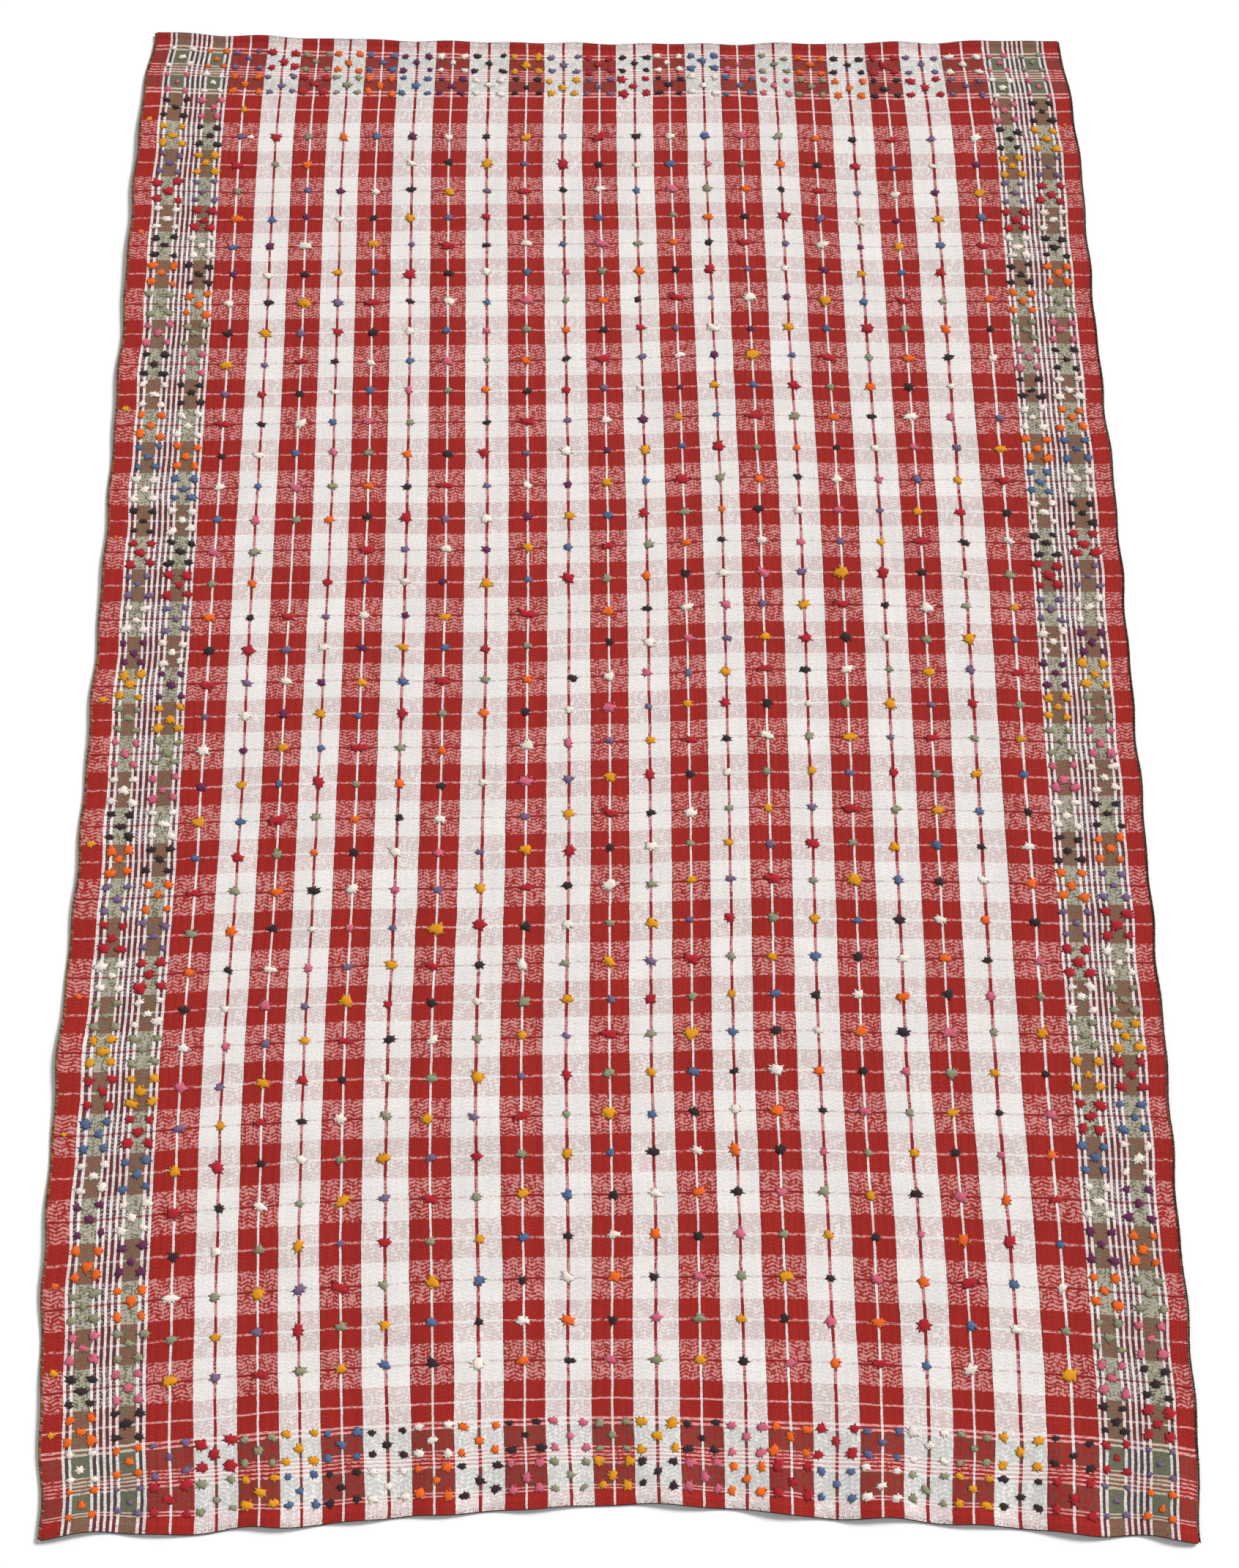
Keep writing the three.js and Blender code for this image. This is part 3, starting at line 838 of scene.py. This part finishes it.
def tuftPlaces():
    spread = tuftSpread
    allCrossings = [(column, row) for row in range(loom["rows"]) for column in range(loom["columns"])]
    places = [(fieldOrder[column + row + 1], column + 0.5, row + 0.5, 1.0)
              for column, row in allCrossings if (column, row) not in bareCrossings]
    places += strayTufts
    perMm = loom["sideColumns"] / sideStripeDepth

    def sideFive(yarn, side, strip, middle, reach, size=spread["fiveSize"][0]):
        inner, outer = spread["stripsAt"][strip]
        nearest, farthest = inner - spread["overStrip"], outer + spread["overStrip"]
        middleOut = (inner + outer) / 2
        for out, down in ((nearest, -1), (nearest, 1), (farthest, -1), (farthest, 1), (middleOut, 0)):
            column = middleColumn + side * (middleColumn + out * perMm)
            places.append((yarn, column, middle + down * reach, size))

    for row in range(-1, loom["rows"] + 1):
        middle, reach = spread["outerRows"].get(row, (row + 0.5, spread["fiveDown"]))
        for strip in (0, 1):
            for side in (-1, 1):
                order = "n" + sideOrder + lastOfSide[side]
                sideFive(order[row + strip + 1], side, strip, middle, reach)
    for (side, end), strips in cornerFives.items():
        for strip, fives in enumerate(strips):
            for yarn, (middle, reach) in zip(fives, spread["endGroups"]):
                row = middleRow + end * (middleRow + middle)
                sideFive(yarn, side, strip, row, reach, spread["cornerSize"])
    afterField = loom["rows"] + 1
    for column in range(loom["columns"]):
        for number, (middle, reach) in enumerate(spread["endGroups"]):
            far, near = fieldOrder[column + number], fieldOrder[column + afterField + number]
            for yarn, end in ((far, -1), (near, 1)):
                for aside, down in ((-1, -1), (1, -1), (-1, 1), (1, 1), (0, 0)):
                    row = middleRow + end * (middleRow + middle + down * reach)
                    spot = column + 0.5 + aside * spread["fiveAcross"]
                    places.append((yarn, spot, row, spread["fiveSize"][1]))
    return places


def buildTufts():
    spread = tuftSpread
    chance = random.Random(spread["seed"])
    models = [modelTuft(seed) for seed in range(tuftShape["variants"])]
    copies = {key: [] for key in tuftWool}
    for yarn, column, row, size in tuftPlaces():
        points, faces = models[chance.randrange(len(models))]
        onRed = 0 <= column < loom["columns"] and int(column) % 2 == 0 and size == 1.0
        wide, deep = tuftWool[yarn][2 if onRed else 3]
        size *= chance.uniform(*spread["sizes"])
        turn = math.radians(chance.gauss(0, spread["turn"]))
        flip = turnedBy(chance.uniform(0, 2 * math.pi))
        wide, deep = wide * chance.uniform(*spread["widths"]), deep * chance.uniform(*spread["widths"])
        stretch = np.array([wide, deep, tuftShape["height"] * chance.uniform(*spread["heights"])])
        base = clothPoint(np.array(column), np.array(row), spread["settled"] * tuftShape["height"])
        wander = np.array([chance.gauss(0, spread["wander"]), chance.gauss(0, spread["wander"]), 0]) * mm
        shaped = points @ flip.T * stretch * size * mm
        copies[yarn].append((shaped @ turnedBy(turn).T + base + wander, faces))
    pieces = []
    for key, (name, color, _, _) in tuftWool.items():
        piece = joinCopies("tufts" + name.capitalize(), copies[key], buildYarn(name + "Wool", color))
        pieces.append(piece)
        print("tufts:", name, len(copies[key]))
    return pieces


# Yarn wound over the edges, in millimetres: its pitch, the stitch's size and where its middle lies.
whipping = {
    "side": {"pitch": 3.4, "halfWidth": 2.9, "halfHeight": 1.9, "out": 0.9, "slant": 1.7, "thread": 1.55,
             "coreOut": 1.9, "coreWidth": 1.4, "coreHeight": 1.3},
    "end": {"pitch": 2.7, "halfWidth": 1.35, "halfHeight": 1.6, "out": 0.2, "slant": 0.8, "thread": 1.0,
            "coreOut": 0.75, "coreWidth": 0.7, "coreHeight": 1.2},
}
# One turn of the yarn, modelled as a ring 1 in radius.
stitchRing = {
    "segments": 8,
    "sides": 4,
    "yarn": 0.15,
    "widths": (0.86, 1.14),
    "lengths": (0.85, 1.15),
    "lean": 1.6,
}
edgeCord = {"sides": 8, "cuts": 15}
outwards = {"left": (-1, 0, 0), "right": (1, 0, 0), "near": (0, -1, 0), "far": (0, 1, 0)}
edgeYarns = {
    "rust": (0.235, 0.080, 0.028),
    "tan": (0.400, 0.225, 0.105),
    "brown": (0.070, 0.028, 0.020),
    "moss": (0.045, 0.050, 0.028),
    "umber": (0.045, 0.025, 0.020),
    "chestnut": (0.150, 0.055, 0.040),
    "maroon": (0.190, 0.020, 0.022),
    "rose": (0.520, 0.300, 0.270),
}


def modelStitch(thread):
    selectNone()
    shape, yarn = stitchRing, stitchRing["yarn"]
    bpy.ops.mesh.primitive_torus_add(major_segments=shape["segments"], minor_segments=shape["sides"],
                                     major_radius=1 - yarn, minor_radius=yarn)
    ring = bpy.context.object
    bpy.ops.object.transform_apply(location=True, rotation=True, scale=True)
    points, faces = takeModel(ring)
    points[:, 2] *= thread / yarn / 2   # the width of the yarn, along the edge
    return points, faces


def edgePath(edge, count):
    t = (np.arange(count) + 0.5) / count * 2 - 1
    first = np.full(count, -1.0 if edge in ("left", "near") else 1.0)
    if edge in ("left", "right"):
        x, y, z = underside(first, t * clothShape["halfLength"])
    else:
        x, y, z = underside(t, first * clothShape["halfLength"])
    return np.stack([x, y, z], -1)


def overWhite(share):
    column = np.interp(share * 2 - 1, loomAcross, loomColumns)
    return int(0 <= column < loom["columns"] and int(column) % 2 == 1)


def pickShade(shades, share, chance):
    weights = [often[overWhite(share)] if isinstance(often, tuple) else often for often in shades.values()]
    return chance.choices(list(shades), weights)[0]


def buildWhipping(edge, node, shades):
    alongSide = edge in ("left", "right")
    shape = whipping["side" if alongSide else "end"]
    length = 2 * clothShape["halfLength"] if alongSide else clothShape["endLength"]
    count = round(length / shape["pitch"])
    path = edgePath(edge, count)
    out = np.array(outwards[edge], float)
    up = np.array((0.0, 0, 1))
    points, faces = modelStitch(shape["thread"])
    acrossIt, upIt, alongIt = points[:, 0:1], points[:, 1:2], points[:, 2:3]
    chance = random.Random(edge)
    lean = -shape["slant"] if edge in ("right", "near") else shape["slant"]
    copies = {name: [] for name in shades}
    for number, middle in enumerate(path):
        ahead = path[min(number + 1, count - 1)] - path[max(number - 1, 0)]
        ahead = ahead / np.linalg.norm(ahead)
        name = pickShade(shades, number / count, chance)
        width = shape["halfWidth"] * chance.uniform(*stitchRing["widths"])
        outward = acrossIt * width * out
        upward = upIt * shape["halfHeight"] * up
        forward = alongIt * chance.uniform(*stitchRing["lengths"])
        forward = (forward + acrossIt * upIt * lean * stitchRing["lean"]) * ahead
        centre = middle + out * (shape["out"] + clothShape["seamGap"]) + up * shape["halfHeight"]
        copies[name].append(((centre + outward + upward + forward) * mm, faces))
    pieces = []
    for name, placed in copies.items():
        if placed:
            material = buildYarn(edge + name.capitalize(), edgeYarns[name])
            pieces.append(joinCopies(edge + "Whipping" + name.capitalize(), placed, material))
    core = buildCore(edge, path, out, shape, edgeYarns[list(shades)[0]])
    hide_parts(node)
    print("whipping:", edge, count, "stitches")
    return pieces + [core]


def buildCore(edge, path, out, shape, color):
    selectNone()
    bpy.ops.mesh.primitive_cylinder_add(vertices=edgeCord["sides"], radius=1, depth=2, end_fill_type="NGON")
    core = bpy.context.object
    core.name = edge + "EdgeCord"
    for _ in range(2):   # the second time, each length is cut again
        bpy.ops.object.mode_set(mode="EDIT")
        bpy.ops.mesh.select_mode(type="EDGE")
        bpy.ops.mesh.select_all(action="DESELECT")
        bpy.ops.object.mode_set(mode="OBJECT")
        for line in core.data.edges:
            low, high = (core.data.vertices[n].co for n in line.vertices)
            line.select = abs(low.z - high.z) > 0.001
        bpy.ops.object.mode_set(mode="EDIT")
        bpy.ops.mesh.subdivide(number_cuts=edgeCord["cuts"])
        bpy.ops.object.mode_set(mode="OBJECT")
    spots = np.linspace(-1, 1, len(path))
    up = np.array((0, 0, 1))
    for vertex in core.data.vertices:
        middle = np.array([np.interp(vertex.co.z, spots, path[:, k]) for k in range(3)])
        aside = shape["coreOut"] + clothShape["seamGap"] + vertex.co.x * shape["coreWidth"]
        spot = middle + out * aside + up * (shape["halfHeight"] + vertex.co.y * shape["coreHeight"])
        vertex.co = spot * mm
    bpy.ops.object.mode_set(mode="EDIT")
    bpy.ops.mesh.select_all(action="SELECT")
    bpy.ops.mesh.normals_make_consistent(inside=False)
    bpy.ops.object.mode_set(mode="OBJECT")
    core.data.materials.append(buildYarn(edge + "Cord", color))
    core.data.shade_smooth()
    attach(core, "root")
    return core


# Small dark stitches that hold the hem, mostly seen on the white columns.
hemStitches = {
    "spacing": 2.9,
    "insets": (0.8, 4.2),
    "length": 2.8,
    "radius": 0.42,
    "sides": 5,
    "rounding": 0.5,
    "sizes": (0.7, 1.25),
    "lean": 30,
    "lift": 0.1,
    "onWhite": 0.8,
    "onRed": 0.12,
    "seed": 5,
    "shades": {"umber": 5, "chestnut": 3, "maroon": 2},
}


def modelHemStitch():
    shape = hemStitches
    selectNone()
    bpy.ops.mesh.primitive_cylinder_add(vertices=shape["sides"], radius=shape["radius"],
                                        depth=shape["length"], rotation=(math.pi / 2, 0, 0),
                                        end_fill_type="NGON")
    dash = bpy.context.object
    bpy.ops.object.transform_apply(rotation=True)
    bpy.ops.object.mode_set(mode="EDIT")
    bpy.ops.mesh.select_all(action="SELECT")
    bpy.ops.mesh.bevel(offset=shape["radius"] * shape["rounding"], segments=1)
    bpy.ops.object.mode_set(mode="OBJECT")
    return takeModel(dash)


def buildHemStitches(end):
    shape = hemStitches
    points, faces = modelHemStitch()
    chance = random.Random(end + shape["seed"])
    copies = {name: [] for name in shape["shades"]}
    count = round(clothShape["endLength"] / shape["spacing"])
    for number in range(count):
        share = (number + 0.5) / count
        if chance.random() > shape["onWhite" if overWhite(share) else "onRed"]:
            continue
        name = chance.choices(list(shape["shades"]), list(shape["shades"].values()))[0]
        along = np.array(end * (clothShape["halfLength"] - chance.uniform(*shape["insets"])))
        x, y, z = underside(np.array(share * 2 - 1), along)
        lift = clothShape["thickness"] + clothShape["hemExtra"] * hemShare(along) + shape["lift"]
        turn = math.radians(chance.gauss(0, shape["lean"]))
        size = chance.uniform(*shape["sizes"])
        copies[name].append(((points * size @ turnedBy(turn).T + np.array([x, y, z + lift])) * mm, faces))
    pieces = []
    where = "Far" if end > 0 else "Near"
    for name, placed in copies.items():
        title = "hemStitches" + where + name.capitalize()
        piece = joinCopies(title, placed, buildYarn(title, edgeYarns[name]))
        pieces.append(piece)
    print("hem stitched:", where.lower(), "end")
    return pieces


# How often each shade is wound: on an end, over a red column and over a white one.
leftShades = {"rust": 5, "tan": 4, "brown": 3}
rightShades = {"brown": 4, "moss": 3, "rust": 3}
endShades = {"umber": (2, 6), "chestnut": (1, 3), "maroon": (7, 1), "rose": (0, 1.5)}

cloth = buildCloth()
trim = buildTufts()
trim += buildWhipping("left", "side_whipping_left", leftShades)
trim += buildWhipping("right", "side_whipping_right", rightShades)
for edge, node in (("near", "end_whipping_near"), ("far", "end_whipping_far")):
    trim += buildWhipping(edge, node, endShades)
trim += buildHemStitches(-1)
trim += buildHemStitches(1)
selectNone()
